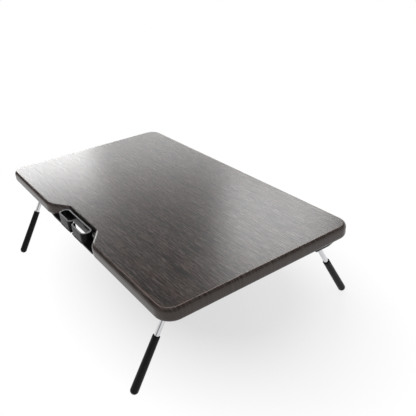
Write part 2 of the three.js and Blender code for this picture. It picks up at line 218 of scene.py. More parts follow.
def flipped(part, signX, signY):
    # Mirrors a body and keeps its faces pointing outwards
    vertices, faces = part
    vertices = vertices * np.array([signX, signY, 1.0])
    return vertices, ([face[::-1] for face in faces] if signX * signY < 0 else faces)


smoothAngle = 40.0  # degrees: a sharper edge shows as an edge


def makePiece(name, part, material, body, stands):
    vertices, faces = part
    mesh = bpy.data.meshes.new(name)
    mesh.from_pydata([tuple(v) for v in vertices.tolist()], [], faces)
    mesh.validate()
    mesh.polygons.foreach_set("use_smooth", np.ones(len(mesh.polygons), dtype=bool))
    mesh.set_sharp_from_angle(angle=math.radians(smoothAngle))
    mesh.materials.append(material)
    mesh.update()
    piece = bpy.data.objects.new(name, mesh)
    bpy.context.scene.collection.objects.link(piece)
    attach(piece, body)
    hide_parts(*stands)
    return piece


def pointValues(mesh, title, values):
    # Stores one number for each vertex, which the materials read by this title
    attribute = mesh.attributes.new(title, "FLOAT", "POINT")
    attribute.data.foreach_set("value", values.astype(np.float32))


def newMaterial(name):
    material = bpy.data.materials.new(name)
    material.use_nodes = True
    tree = material.node_tree
    tree.nodes.clear()
    out = tree.nodes.new("ShaderNodeOutputMaterial")
    shader = tree.nodes.new("ShaderNodeBsdfPrincipled")
    tree.links.new(shader.outputs["BSDF"], out.inputs["Surface"])
    return material, tree, shader


def nodeOfType(tree, kind):
    return next(node for node in tree.nodes if node.type == kind)


def addNode(tree, kind, values=None, **settings):
    node = tree.nodes.new(kind)
    for key, value in settings.items():
        setattr(node, key, value)
    for key, value in (values or {}).items():
        socket = node.inputs[key]
        if isinstance(value, bpy.types.NodeSocket):
            tree.links.new(value, socket)
        else:
            socket.default_value = value
    return node


def noiseOn(tree, coordinates, scale, detail, roughness, place=(0, 0, 0), distortion=0.0):
    # Noise whose cells measure 1 / scale metres along each axis
    mapping = addNode(tree, "ShaderNodeMapping", {
        "Vector": coordinates, "Location": place, "Scale": scale})
    return addNode(tree, "ShaderNodeTexNoise", {
        "Vector": mapping.outputs["Vector"], "Scale": 1.0, "Detail": detail,
        "Roughness": roughness, "Distortion": distortion}).outputs["Fac"]


def spread(tree, value, low, high, toLow=0.0, toHigh=1.0):
    # Straight from toLow, where the value is low, to toHigh, where it is high, and level beyond
    return addNode(tree, "ShaderNodeMapRange", {
        "Value": value, "From Min": low, "From Max": high,
        "To Min": toLow, "To Max": toHigh}).outputs["Result"]


def combined(tree, operation, first, second):
    return addNode(tree, "ShaderNodeMath", {0: first, 1: second}, operation=operation).outputs[0]


def surfaceValue(tree, title):
    return addNode(tree, "ShaderNodeAttribute", attribute_name=title).outputs["Fac"]


def blendColours(tree, factor, first, second):
    node = addNode(tree, "ShaderNodeMix", data_type="RGBA")
    for socket, value in ((node.inputs[0], factor), (node.inputs[6], first), (node.inputs[7], second)):
        if isinstance(value, bpy.types.NodeSocket):
            tree.links.new(value, socket)
        elif isinstance(value, float):
            socket.default_value = value
        else:
            socket.default_value = (*value, 1.0)
    return node.outputs[2]


laminate = {
    "dark": (0.012, 0.009, 0.008),
    "middle": (0.055, 0.043, 0.037),
    "pale": (0.128, 0.107, 0.098),
    "warm": (0.070, 0.042, 0.036),
    # the sides' plainer print, darker than the top partly as painted shade
    "side": (0.050, 0.036, 0.031),
    # a painted highlight along the foil's border
    "worn": (0.330, 0.240, 0.215),
    # painted shade: the ring's shade on the notch's wall
    "soiled": (0.006, 0.005, 0.004),
    "layers": {
        # cells per metre along the grain, a cell's width across it, detail, roughness of the
        # noise, where the pattern starts, and how wavy it is
        "bands": (1.6, 34 * mm, 2.0, 0.5, (0, 0, 0), 0.0),
        "figure": (5.0, 7 * mm, 2.0, 0.6, (4.1, 2.3, 0.0), 0.6),
        "streaks": (38.0, 1.3 * mm, 3.0, 0.6, (1.7, 9.2, 0.0), 0.0),
        "pores": (130.0, 0.6 * mm, 1.0, 0.5, (3.3, 5.1, 0.0), 0.0),
        "warmth": (6.0, 34 / 3 * mm, 2.0, 0.6, (8.3, 1.1, 0.0), 0.0),
    },
    "blends": (
        # layer, the colour that it brings in, the noise values where that starts and is full, and
        # the share that it then has
        ("bands", "pale", 0.44, 0.60, 0.40),
        ("warmth", "warm", 0.46, 0.60, 0.80),
        ("figure", "dark", 0.50, 0.62, 0.65),
        ("streaks", "pale", 0.51, 0.62, 0.80),
        ("streaks", "dark", 0.49, 0.40, 0.85),
        ("pores", "dark", 0.52, 0.62, 0.75),
    ),
    "roughness": (0.40, 0.60, 0.265, 0.240),  # streak values, and the roughness at each
    "bumpStrength": 0.06,
    "bumpDepth": 0.2 * mm,
    # Distances from the flat's border down the rounded edge
    "seamStart": 0.05 * mm,
    "seamDepth": 1.2 * mm,
    "seamBreaks": (0.35, 0.55, 0.45, 1.0),  # figure values, and the share of the painted highlight left at each
    "sideRun": (1.5 * mm, 5 * mm),
    "sideShare": 0.8,
    "soiledRun": (1.6 * mm, 2.8 * mm),
    "specular": (0.5, 0.34),                # on the top and on the sides
}


def laminateMaterial():
    # Printed wood grain in layers, from wide to fine, all drawn out along the board
    material, tree, shader = newMaterial("laminate")
    grain = addNode(tree, "ShaderNodeUVMap", uv_map="grain").outputs["UV"]
    layers = {
        name: noiseOn(tree, grain, (lengthwise, 1 / width, 1.0), detail, roughness, place, distortion)
        for name, (lengthwise, width, detail, roughness, place, distortion) in laminate["layers"].items()
    }
    base = laminate["middle"]
    for name, colour, low, high, share in laminate["blends"]:
        shown = spread(tree, layers[name], low, high, 0.0, share)
        base = blendColours(tree, shown, base, laminate[colour])

    # The sides are plainer and a little darker, partly as painted shade, and behind the ring they are
    # painted dark as the ring's shade on the notch's wall
    run = surfaceValue(tree, "edgeRun")
    sides = spread(tree, run, *laminate["sideRun"], 0.0, laminate["sideShare"])
    base = blendColours(tree, sides, base, laminate["side"])
    soiled = combined(tree, "MULTIPLY", spread(tree, run, *laminate["soiledRun"]),
                      surfaceValue(tree, "behindRing"))
    base = blendColours(tree, soiled, base, laminate["soiled"])

    # A painted highlight runs along the foil's border as a thin pale line, strongest round the corners,
    # and broken by the grain
    rising = spread(tree, run, laminate["seamStart"], laminate["seamDepth"] / 3)
    falling = spread(tree, run, laminate["seamDepth"], laminate["seamDepth"] / 2)
    borderHighlight = combined(tree, "MULTIPLY", rising, falling)
    borderHighlight = combined(tree, "MULTIPLY", borderHighlight, surfaceValue(tree, "cornerWear"))
    borderHighlight = combined(tree, "MULTIPLY", borderHighlight, spread(tree, layers["figure"], *laminate["seamBreaks"]))
    base = blendColours(tree, borderHighlight, base, laminate["worn"])

    bump = addNode(tree, "ShaderNodeBump", {
        "Strength": laminate["bumpStrength"], "Distance": laminate["bumpDepth"],
        "Height": blendColours(tree, 0.5, layers["streaks"], layers["pores"])})
    tree.links.new(base, shader.inputs["Base Color"])
    tree.links.new(spread(tree, layers["streaks"], *laminate["roughness"]), shader.inputs["Roughness"])
    tree.links.new(bump.outputs["Normal"], shader.inputs["Normal"])
    # The foil on the sides is duller than on the top
    tree.links.new(spread(tree, run, *laminate["sideRun"], *laminate["specular"]),
                   shader.inputs["Specular IOR Level"])
    return material


clouds = {
    # The noise values over which the tone and the gloss of plastics and metals change
    "tone": (0.35, 0.7),
    "gloss": (0.3, 0.7),
}
plastics = {
    # colour, roughness, size of the fine grain, strength of its bump, specular level
    "clipPlastic": ((0.005, 0.005, 0.0055), 0.2, 0.5 * mm, 0.05, 0.08),
    "bracketPlastic": ((0.008, 0.008, 0.0085), 0.45, 0.4 * mm, 0.35, 0.3),
    "sleeveRubber": ((0.008, 0.008, 0.0085), 0.40, 0.3 * mm, 0.12, 0.12),
    "boardBacking": ((0.020, 0.017, 0.015), 0.55, 0.5 * mm, 0.2, 0.5),
}
moulded = {
    "cloudScale": 45.0,      # cells per metre of the broad faint changes
    "cloudTone": 1.6,        # how many times lighter the lightest place is
    "cloudGloss": (-0.05, 0.07),  # added to the roughness in the glossiest and the dullest place
    "bumpDepth": 0.1 * mm,
    # the painted highlight on the clip's rim
    "rubbed": (0.42, 0.42, 0.43),
}


def mouldedMaterial(name):
    # Moulded plastic or rubber: a fine even grain in the bump and broad faint changes of gloss
    colour, roughness, grainSize, bumpStrength, specular = plastics[name]
    material, tree, shader = newMaterial(name)
    place = addNode(tree, "ShaderNodeTexCoord").outputs["Object"]
    broad = noiseOn(tree, place, (moulded["cloudScale"],) * 3, 3.0, 0.6)
    fine = noiseOn(tree, place, (1 / grainSize,) * 3, 2.0, 0.5)
    lighter = tuple(c * moulded["cloudTone"] for c in colour)
    base = blendColours(tree, spread(tree, broad, *clouds["tone"]), colour, lighter)
    tree.links.new(base, shader.inputs["Base Color"])
    glossy, dull = (roughness + change for change in moulded["cloudGloss"])
    tree.links.new(spread(tree, broad, *clouds["gloss"], glossy, dull), shader.inputs["Roughness"])
    bump = addNode(tree, "ShaderNodeBump", {
        "Strength": bumpStrength, "Distance": moulded["bumpDepth"], "Height": fine})
    tree.links.new(bump.outputs["Normal"], shader.inputs["Normal"])
    shader.inputs["Specular IOR Level"].default_value = specular
    return material


def clipMaterial():
    # The clip's plastic, with a painted highlight along the edges of its rim
    material = mouldedMaterial("clipPlastic")
    tree = material.node_tree
    baseColour = nodeOfType(tree, "BSDF_PRINCIPLED").inputs["Base Color"]
    plain = baseColour.links[0].from_socket
    rubbed = blendColours(tree, surfaceValue(tree, "rimEdge"), plain, moulded["rubbed"])
    tree.links.new(rubbed, baseColour)
    return material


metals = {
    # colour, least roughness and how much rougher the haziest place is
    "chromedRod": ((0.66, 0.66, 0.68), 0.07, 0.05),
    "zincSteel": ((0.48, 0.48, 0.50), 0.26, 0.12),
}
haze = {
    "scale": 60.0,           # cells per metre
    "tone": 0.9,             # what is left of the colour in the haziest place
}


def metalMaterial(name):
    colour, roughness, change = metals[name]
    material, tree, shader = newMaterial(name)
    place = addNode(tree, "ShaderNodeTexCoord").outputs["Object"]
    cloud = noiseOn(tree, place, (haze["scale"],) * 3, 4.0, 0.6)
    darker = tuple(c * haze["tone"] for c in colour)
    tree.links.new(blendColours(tree, spread(tree, cloud, *clouds["tone"]), colour, darker),
                   shader.inputs["Base Color"])
    tree.links.new(spread(tree, cloud, *clouds["gloss"], roughness, roughness + change),
                   shader.inputs["Roughness"])
    shader.inputs["Metallic"].default_value = 1.0
    return material


finishes = {
    "board": laminateMaterial(),
    "clip": clipMaterial(),
    "bracket": mouldedMaterial("bracketPlastic"),
    "sleeve": mouldedMaterial("sleeveRubber"),
    "rod": metalMaterial("chromedRod"),
    "screw": metalMaterial("zincSteel"),
    "backing": mouldedMaterial("boardBacking"),
}
print("materials done")


board = {
    "cornerRadius": 18 * mm,
    "edgeRadius": 4 * mm,
    "mouthHalf": 62.2 * mm,      # the notch at the rear edge
    "mouthRadius": 26 * mm,
    "floorHalf": 37.25 * mm,     # the notch at its floor
    "floorRadius": 12 * mm,
    "floorY": 102.9 * mm,
    "stepDegrees": 3.0,          # between two points on the outline's arcs
    "edgeSteps": 10,             # faces round each edge
    "arcMiddle": 0.3,            # distance of a corner arc's middle from the sides, in radii
    "wearFull": 24 * mm,         # distances from that middle at which the painted edge highlight starts to fade
    "wearEnd": 64 * mm,          # and is down to its least
    "wearLeast": 0.15,
    "shadeDepth": 2 * mm,        # how far round its ends the notch's floor still counts as shaded
}


def makeBoard():
    endX, edgeY, bend = boardHigh.x, boardHigh.y, board["cornerRadius"]
    loop = roundedLoop([
        (-endX, -edgeY, bend),
        (endX, -edgeY, bend),
        (endX, edgeY, bend),
        (board["mouthHalf"], edgeY, board["mouthRadius"]),
        (board["floorHalf"], board["floorY"], board["floorRadius"]),
        (-board["floorHalf"], board["floorY"], board["floorRadius"]),
        (-board["mouthHalf"], edgeY, board["mouthRadius"]),
        (-endX, edgeY, bend),
    ], board["stepDegrees"])
    profile = edgeProfile(underside, topHeight, board["edgeRadius"], board["edgeRadius"],
                          board["edgeSteps"])
    piece = makePiece("laminatedBoard", prism(loop, profile), finishes["board"], "board",
                      ["top_board"])
    mesh = piece.data
    mesh.materials.append(finishes["backing"])

    # The foil is one sheet: a point on the edge keeps the plan place of the flat's border, moved
    # outwards along the normal by the distance that the foil has run down the profile.
    points, normals, _ = loop
    run = np.concatenate([[0.0], np.cumsum(np.hypot(*np.diff(profile[::-1], axis=0).T))])[::-1]
    border = points - normals * profile[-1, 0]
    foil = (border[None] + normals[None] * run[:, None, None]).reshape(-1, 2)
    corners = np.zeros(len(mesh.loops), dtype=np.int32)
    mesh.loops.foreach_get("vertex_index", corners)
    layer = mesh.uv_layers.new(name="grain")
    layer.uv.foreach_set("vector", foil[corners].astype(np.float32).ravel())

    # The painted edge highlight falls off with the distance from the middle of the nearest corner's arc
    inwards = board["arcMiddle"] * bend
    fromCorner = np.hypot(np.abs(points[:, 0]) - endX + inwards, np.abs(points[:, 1]) - edgeY + inwards)
    fade = board["wearEnd"] - board["wearFull"]
    share = np.clip((board["wearEnd"] - fromCorner) / fade, 0, 1)
    highlightAmount = board["wearLeast"] + (1 - board["wearLeast"]) * share
    # The wall of the notch's floor stands in the ring's shade, which is painted on it
    atFloor = np.abs(points[:, 1] - board["floorY"]) < board["shadeDepth"]
    behind = np.where((np.abs(points[:, 0]) < board["floorHalf"]) & atFloor, 1.0, 0.0)
    pointValues(mesh, "edgeRun", np.repeat(run, len(points)))
    pointValues(mesh, "cornerWear", np.tile(highlightAmount, len(run)))
    pointValues(mesh, "behindRing", np.tile(behind, len(run)))

    # Faces that look straight down have the plain backing
    facing = np.zeros(len(mesh.polygons) * 3, dtype=np.float32)
    mesh.polygons.foreach_get("normal", facing)
    downwards = facing.reshape(-1, 3)[:, 2] < -0.99
    mesh.polygons.foreach_set("material_index", downwards.astype(np.int32))


makeBoard()
print("board done")


clip = {
    "halfLength": 36 * mm,
    "rearY": 118 * mm,
    "frontY": 104.2 * mm,
    "wall": 1.8 * mm,
    "rimDrop": 0.5 * mm,         # of the rim below the board's top
    "rimRadius": 0.3 * mm,
    "rubbedDepth": 0.21 * mm,    # how far down the rim the painted highlight reaches, and how strongly
    "rubbedShare": 0.5,
    "slitHalf": 2.3 * mm,
    "lipRadius": 5 * mm,
    "footFillet": 1.0 * mm,
    "footFade": 0.7,             # the smaller, the further the fillet reaches round the ends
    "footDepth": 0.5 * mm,       # of the ring's foot below the plate
    "stepDegrees": 4.0,          # between two points on an arc of the ring
    "roundSteps": 5,             # faces on the rim's round and on the fillet
    "plateThickness": 2 * mm,
    "plateGap": 0.3 * mm,
    "plateCorner": 0.6 * mm,
    "slitCorner": 0.3 * mm,
    "nudge": 0.05 * mm,          # by which bodies that meet overlap
    "hairline": 0.01 * mm,       # by which two faces that would coincide lie apart
    "windowLap": 1 * mm,
    "windowCorner": 2 * mm,
    "flangeThickness": 2 * mm,
    "flangeHalf": 73.7 * mm,
    "flangeLap": 12 * mm,
    "flangeSetback": 5 * mm,
    "wingSetback": 1.5 * mm,
    "flangeCorner": 4 * mm,
    "stepCorner": 1 * mm,
}
ringDepth = clip["rearY"] - clip["frontY"]
ringEndX = clip["halfLength"] - ringDepth / 2      # where the round ends start
ringMiddle = clip["frontY"] + ringDepth / 2
plateTop = underside + clip["plateThickness"]


def ringArcs(side):
    # One half of the wall's outline in two runs, as arcs. The outer run starts at the slit with the
    # lip and goes round the end; the inner run comes back and curls into the lip's half-round tip.
    outer, inner, tip = ringDepth / 2, ringDepth / 2 - clip["wall"], clip["wall"] / 2
    lipX, lipY = clip["slitHalf"] + clip["lipRadius"], clip["rearY"] - clip["lipRadius"]
    lipInner, tipX = clip["lipRadius"] - clip["wall"], clip["slitHalf"] + tip
    outerRun = [(lipX, lipY, clip["lipRadius"], 180, 90, 1), (ringEndX, ringMiddle, outer, 90, -90, 1)]
    innerRun = [(ringEndX, ringMiddle, inner, -90, 90, -1), (lipX, lipY, lipInner, 90, 180, -1),
                (tipX, lipY, tip, 0, -180, 1)]
    if side > 0:
        return outerRun, innerRun
    return mirroredArcs(outerRun), mirroredArcs(innerRun)


def reversedLoop(arcs):
    return tuple(part[::-1] for part in arcLoop(arcs, clip["stepDegrees"]))


def wallPart():
    # The whole ring stands on the plate's top. Its foot widens on a small fillet round both ends,
    # where the outline's normal points outwards along X.
    (leftOuter, leftInner), (rightOuter, rightInner) = ringArcs(1), ringArcs(-1)
    loop = reversedLoop(leftOuter + rightOuter + rightInner + leftInner)
    points, normals, _ = loop
    fillet, sunk, steps = clip["footFillet"], plateTop - 2 * clip["hairline"], clip["roundSteps"]
    turn = np.linspace(0.0, math.pi / 2, steps + 1)
    foot = np.stack([-fillet * (1 - np.sin(turn)), plateTop + fillet * (1 - np.cos(turn))], axis=1)
    rim = topHeight - clip["rimDrop"]
    upper = edgeProfile(plateTop, rim, 0.0, clip["rimRadius"], steps, 0.12 * mm)[2:]
    profile = np.concatenate([[[0.15 * mm, sunk], [-fillet, sunk]], foot, upper])
    outward = (np.abs(points[:, 0]) > ringEndX) & (np.sign(points[:, 0]) * normals[:, 0] > 0)
    atEnds = np.where(outward, np.abs(normals[:, 0]) ** clip["footFade"], 0.0)
    return prism(loop, profile, np.where(profile[:, :1] < 0, atEnds[None, :], 1.0))


def wingPart(side):
    # One half of what lies below the plate's top: the ring's foot from the lip round the end, and
    # the plate that closes the notch beside it. Between the two halves the front wall stands over
    # an open window.
    outerRun, innerRun = ringArcs(1)
    foot = prism(reversedLoop(outerRun + innerRun),
                 edgeProfile(underside - clip["footDepth"], plateTop - clip["hairline"], 0.0, 0.0))

    gap, slit, rear, nudge = clip["plateGap"], clip["slitHalf"], clip["rearY"], clip["nudge"]
    slope = (board["mouthHalf"] - board["floorHalf"]) / (boardHigh.y - board["floorY"])
    frontY = board["floorY"] + gap

    def sideX(y):
        return board["floorHalf"] + (y - board["floorY"]) * slope - gap * math.hypot(1.0, slope)

    pocketX = clip["halfLength"] - clip["wall"] - nudge
    low, high = clip["frontY"] + clip["wall"] + nudge, rear - clip["wall"] - nudge
    bend, sharp = pocketX - ringEndX - nudge, 0.2 * mm
    plateLoop = roundedLoop([
        (ringEndX, frontY, sharp),
        (sideX(frontY), frontY, board["floorRadius"]),
        (sideX(rear), rear, clip["plateCorner"]),
        (slit, rear, clip["slitCorner"]),
        (slit, high, clip["slitCorner"]),
        (pocketX, high, bend),
        (pocketX, low, bend),
        (ringEndX, low, 0.02 * mm),
    ])
    profile = edgeProfile(underside - 0.2 * mm, plateTop, 0.1 * mm, sharp, 3, 0.1 * mm)
    return flipped(joined([foot, prism(plateLoop, profile)]), side, 1)


def flangePart():
    # The sheet under the board that holds the clip's screws. The window and the slit cut through
    # it, and it is drawn back behind the ring. The pocket's round ends cut into that rear edge.
    rear, front = clip["rearY"] - clip["flangeSetback"], board["floorY"] - clip["flangeLap"]
    wingRear = clip["rearY"] - clip["wingSetback"]
    radius = ringDepth / 2 - clip["wall"] + clip["nudge"]
    half, stepX, sharp = clip["flangeHalf"], clip["halfLength"], 0.1 * mm
    bend, small, corner = clip["flangeCorner"], clip["stepCorner"], clip["windowCorner"]
    windowX, windowY = ringEndX - corner, board["floorY"] - clip["windowLap"] + corner
    rise = math.degrees(math.asin((rear - ringMiddle) / radius))
    leftHalf = [
        (half - bend, front + bend, bend, -90, 0, 1),
        (half - bend, wingRear - bend, bend, 0, 90, 1),
        (stepX + small, wingRear - small, small, 90, 180, 1),
        (stepX - sharp, rear + sharp, sharp, 0, -90, -1),
        (ringEndX, ringMiddle, radius, rise, -90, -1),
        (windowX, windowY, corner, 0, -90, -1),
    ]
    low, high = underside - clip["flangeThickness"], underside - clip["hairline"]
    return prism(arcLoop(leftHalf + mirroredArcs(leftHalf)),
                 edgeProfile(low, high, 0.05 * mm, 0.0, 2, clip["hairline"]))


def makeClip():
    parts = [wallPart(), wingPart(1), wingPart(-1), flangePart()]
    piece = makePiece("cableClip", joined(parts), finishes["clip"], "board", ["cable_clip"])
    # The painted highlight lies on the rim and where it rounds over
    places = np.zeros(len(piece.data.vertices) * 3, dtype=np.float32)
    piece.data.vertices.foreach_get("co", places)
    below = topHeight - clip["rimDrop"] - places.reshape(-1, 3)[:, 2]
    rubbed = np.where(below < clip["rubbedDepth"], clip["rubbedShare"], 0.0)
    pointValues(piece.data, "rimEdge", rubbed)


makeClip()
print("cable clip done")


legs = {
    "angle": 31.0,               # degrees from upright
    "reach": 102.6 * mm,         # from the hinge to the sleeve's tip
    "rodRadius": 2.75 * mm,
    "rodSides": 32,
    "rodSetback": 0.3 * mm,      # of the rod's end inside the sleeve's tip
    "bendRadius": 8 * mm,
    "bendSteps": 18,             # sections round each bend
    "sleeveLength": 65.2 * mm,
    "sleeveSides": 40,
    "sleeveSteps": (13, 11, 4),  # rows on the tip, the taper and the mouth
    "tipRadius": 4.4 * mm,
    "mouthRadius": 3.9 * mm,
    "mouthSoft": 0.35 * mm,
    "boreRadius": 3.05 * mm,
    "boreDepth": 12 * mm,
}


def onHinge(part, side):
    # Takes a body drawn with the hinge axis along X and the legs down -Z to its place at rest
    vertices, faces = part
    turn = math.radians(legs["angle"]) * side
    x, y, z = vertices.T
    turned = np.stack([x, y * math.cos(turn) - z * math.sin(turn) + side * hingeY,
                       y * math.sin(turn) + z * math.cos(turn) + hingeHeight], axis=1)
    return turned, faces


def rodPart(legX):
    # A circle carried along a line in the X-Z plane: down-leg, quarter bend, bar, quarter bend,
    # down-leg. The section's own axes are Y and the line's normal in the plane.
    bend, radius, sides = legs["bendRadius"], legs["rodRadius"], legs["rodSides"]
    lowest = -legs["reach"] + legs["rodSetback"]
    turn = np.radians(np.linspace(180.0, 90.0, legs["bendSteps"] + 1))
    left = np.stack([-legX + bend + bend * np.cos(turn), -bend + bend * np.sin(turn)], axis=1)
    leftLine = np.stack([np.sin(turn), -np.cos(turn)], axis=1)
    line = np.concatenate([[[-legX, lowest]], left, (left * [-1, 1])[::-1], [[legX, lowest]]])
    ahead = np.concatenate([[[0, 1]], leftLine, (leftLine * [1, -1])[::-1], [[0, -1]]])
    across = np.stack([-ahead[:, 1], ahead[:, 0]], axis=1)
    angle = np.linspace(0, 2 * math.pi, sides, endpoint=False)
    grid = np.zeros((len(line), sides, 3))
    grid[..., 0] = line[:, None, 0] + radius * across[:, None, 0] * np.cos(angle)
    grid[..., 2] = line[:, None, 1] + radius * across[:, None, 1] * np.cos(angle)
    grid[..., 1] = radius * np.sin(angle)
    return closedGrid(grid)


def sleevePart(legX, side):
    # A turned profile: half-round tip, long taper, softened mouth and bore. What would sink below
    # the floor is lifted to it, which makes the small flat on which the leg stands.
    tip, mouth, bore = legs["tipRadius"], legs["mouthRadius"], legs["boreRadius"]
    soft, top, lap = legs["mouthSoft"], legs["sleeveLength"] - tip, 0.1 * mm
    tipSteps, taperSteps, mouthSteps = legs["sleeveSteps"]
    turn = np.linspace(0.02, math.pi / 2, tipSteps + 1)
    ease = np.linspace(0.0, math.pi / 2, mouthSteps + 1)
    profile = np.concatenate([
        np.stack([tip * np.sin(turn), -tip * np.cos(turn)], axis=1),
        np.stack([mouth + (tip - mouth) * np.linspace(1, 0, taperSteps + 1)[1:-1],
                  (top - soft) * np.linspace(0, 1, taperSteps + 1)[1:-1]], axis=1),
        np.stack([mouth - soft + soft * np.cos(ease), top - soft + soft * np.sin(ease)], axis=1),
        [[bore + lap, top], [bore, top - lap], [bore, top - legs["boreDepth"]]],
    ])
    vertices, faces = lathe(profile, legs["sleeveSides"])
    vertices, faces = onHinge((vertices + np.array([legX, 0.0, -legs["reach"]]), faces), side)
    vertices[:, 2] = np.maximum(vertices[:, 2], 0.0)
    return vertices, faces


for end, side in (("rear", 1), ("front", -1)):
    body = f"{end}_legs"
    legX = abs(feet[end, "left"])
    makePiece(f"{end}BentRod", onHinge(rodPart(legX), side), finishes["rod"], body,
              [f"{end}_leg_frame"])
    for hand in ("right", "left"):
        makePiece(f"{end}{hand.capitalize()}Sleeve", sleevePart(feet[end, hand], side),
                  finishes["sleeve"], body, [f"{end}_{hand}_sleeve"])
print("legs done")


bracket = {
    "thickness": 2.5 * mm,
    "innerReach": 27 * mm,       # of the plate, from the hinge axis in the leg's plane
    "outerReach": 17 * mm,
    "frontReach": 14.5 * mm,
    "rearReach": 16.5 * mm,
    "cornerRadius": 4 * mm,
    "saddleStart": 12 * mm,      # inwards from the leg's plane
    "saddleLength": 14 * mm,
    "saddleWall": 3 * mm,
    "saddleBottom": -1.595 * mm,  # under the rod's middle, which the groove clasps
    "saddleBend": 1.5 * mm,
    "stopStart": 2 * mm,         # down the leg from the hinge axis
    "cheekStart": 8.5 * mm,
    "stopEnd": 14 * mm,
    "stopBack": 3 * mm,
    "stopTaper": 2 * mm,
    "stopCorner": 0.4 * mm,
    "cheek": 2 * mm,
    "cheekDepth": 4 * mm,
    "cheekLap": 1 * mm,
    "heelStart": 4.05 * mm,      # outwards from the leg's plane
    "heelEnd": 14.6 * mm,
    "heelDepth": 10 * mm,
    "heelFront": 11.5 * mm,
    "heelRear": 7.5 * mm,
    "heelRise": 2.5 * mm,
    "heelCorners": (1.5 * mm, 4 * mm, 1.2 * mm),  # front, rear and top
    "soft": 0.45 * mm,           # radii of edges and corners
    "sharp": 0.3 * mm,
    "blunt": 0.8 * mm,
}

screw = {
    "headRadius": 3.4 * mm,
    "headHeight": 2.2 * mm,
    "flatShare": 0.45,           # of the radius, where the head is flat, and of the height at its rim
    "crossHalfLength": 1.9 * mm,
    "crossHalfWidth": 0.45 * mm,
    "crossDepth": 1.1 * mm,
    "crossSlope": 0.1 * mm,      # width of the cross's sloping sides
    "flatRings": (0.02, 0.62, 22),  # first and last radius as shares of the head's, and their number
    "rimRings": (0.62, 1.0, 9),
    "sides": 72,
}


def bracketPart(signX, signY):
    # Drawn for the corner at +X and +Y with the origin on the hinge axis in the leg's plane, then
    # mirrored
    drop, bore = underside - hingeHeight, legs["boreRadius"]
    soft, sharp, blunt = bracket["soft"], bracket["sharp"], bracket["blunt"]
    into = drop - bracket["thickness"] / 2

    def softEdges(start, end, startRadius=soft, endRadius=soft, steps=4, margin=0.2 * mm):
        return edgeProfile(start, end, startRadius, endRadius, steps, margin)

    plate = prism(roundedLoop([
        (-bracket["innerReach"], -bracket["frontReach"], bracket["cornerRadius"]),
        (bracket["outerReach"], -bracket["frontReach"], bracket["cornerRadius"]),
        (bracket["outerReach"], bracket["rearReach"], bracket["cornerRadius"]),
        (-bracket["innerReach"], bracket["rearReach"], bracket["cornerRadius"]),
    ]), softEdges(drop - bracket["thickness"], drop, soft, 0.0))

    half, bottom = bore + bracket["saddleWall"], bracket["saddleBottom"]
    bend, buried = bracket["saddleBend"], 0.2 * mm
    mouth = math.degrees(math.asin(-bottom / bore))
    saddleLoop = arcLoop([
        (-half + bend, bottom + bend, bend, 180, 270, 1),
        (0, 0, bore, 180 + mouth, -mouth, -1),
        (half - bend, bottom + bend, bend, -90, 0, 1),
        (half - buried, into - buried, buried, 0, 90, 1),
        (-half + buried, into - buried, buried, 90, 180, 1),
    ])
    saddleEnd = -bracket["saddleStart"]
    saddle = alongX(prism(saddleLoop, softEdges(saddleEnd - bracket["saddleLength"], saddleEnd)))

    # A point at a distance along the leg and at a height outwards from the leg's middle line
    turn = math.radians(legs["angle"])

    def at(along, out, radius):
        return (along * math.sin(turn) + out * math.cos(turn),
                -along * math.cos(turn) + out * math.sin(turn), radius)

    face, back, wide = bore, bore + bracket["stopBack"], bore + bracket["cheek"]
    lowOuter = at(bracket["stopEnd"], back, blunt)
    faceTop = at(bracket["stopStart"], face, sharp)
    backLoop = roundedLoop([
        at(bracket["stopEnd"], face, bracket["stopCorner"]),
        lowOuter,
        (lowOuter[0] + bracket["stopTaper"], into, sharp),
        (faceTop[0], into, sharp),
        faceTop,
    ])
    stop = alongX(prism(backLoop, softEdges(-wide, wide)))
    inner, lapped = face - bracket["cheekDepth"], face + bracket["cheekLap"]
    cheekLoop = roundedLoop([
        at(bracket["stopEnd"], inner, blunt),
        at(bracket["stopEnd"], lapped, sharp),
        at(bracket["cheekStart"], lapped, sharp),
        at(bracket["cheekStart"], inner, blunt),
    ])
    softer = soft * 0.7
    cheeks = [alongX(prism(cheekLoop, softEdges(a, b, softer, softer, margin=0.15 * mm)))
              for a, b in ((-wide, -bore), (bore, wide))]
    low, front, rear = drop - bracket["heelDepth"], bracket["frontReach"], bracket["rearReach"]
    frontCorner, rearCorner, topCorner = bracket["heelCorners"]
    heelLoop = roundedLoop([
        (-bracket["heelFront"], low, frontCorner),
        (bracket["heelRear"], low, rearCorner),
        (rear, low + bracket["heelRise"], topCorner),
        (rear, into, sharp),
        (-front, into, sharp),
    ])
    heelEdges = softEdges(bracket["heelStart"], bracket["heelEnd"], soft, 2 * soft, 5)
    heel = alongX(prism(heelLoop, heelEdges))
    return flipped(joined([plate, saddle, stop, heel, *cheeks]), signX, signY)


def screwPart(x, y, seat):
    # A pan head seen from below: a flat middle that falls off to the rim on a quarter ellipse, with
    # a cross sunk into it where the distance to both arms' middle lines is small. The shank is
    # hidden in the wood.
    radius, height, flat = screw["headRadius"], screw["headHeight"], screw["flatShare"]
    inner, outer = np.linspace(*screw["flatRings"]), np.linspace(*screw["rimRings"])
    rings = radius * np.concatenate([inner, outer[1:]])
    turn = np.linspace(0, 2 * math.pi, screw["sides"], endpoint=False)
    px, py = rings[:, None] * np.cos(turn), rings[:, None] * np.sin(turn)
    fall = np.clip((rings / radius - flat) / (1 - flat), 0, 1)
    dome = -height * (flat + (1 - flat) * np.sqrt(np.clip(1 - fall ** 2, 0, 1)))

    def inside(value, limit):
        return np.clip((limit - np.abs(value)) / screw["crossSlope"] + 0.5, 0, 1)

    arms = np.maximum(inside(px, screw["crossHalfLength"]) * inside(py, screw["crossHalfWidth"]),
                      inside(py, screw["crossHalfLength"]) * inside(px, screw["crossHalfWidth"]))
    head = np.stack([px, py, dome[:, None] + arms * screw["crossDepth"]], axis=-1)
    seatRing = head[-1:] * [1, 1, 0]
    vertices, faces = closedGrid(np.concatenate([head, seatRing]))
    return vertices + np.array([x, y, seat]), faces


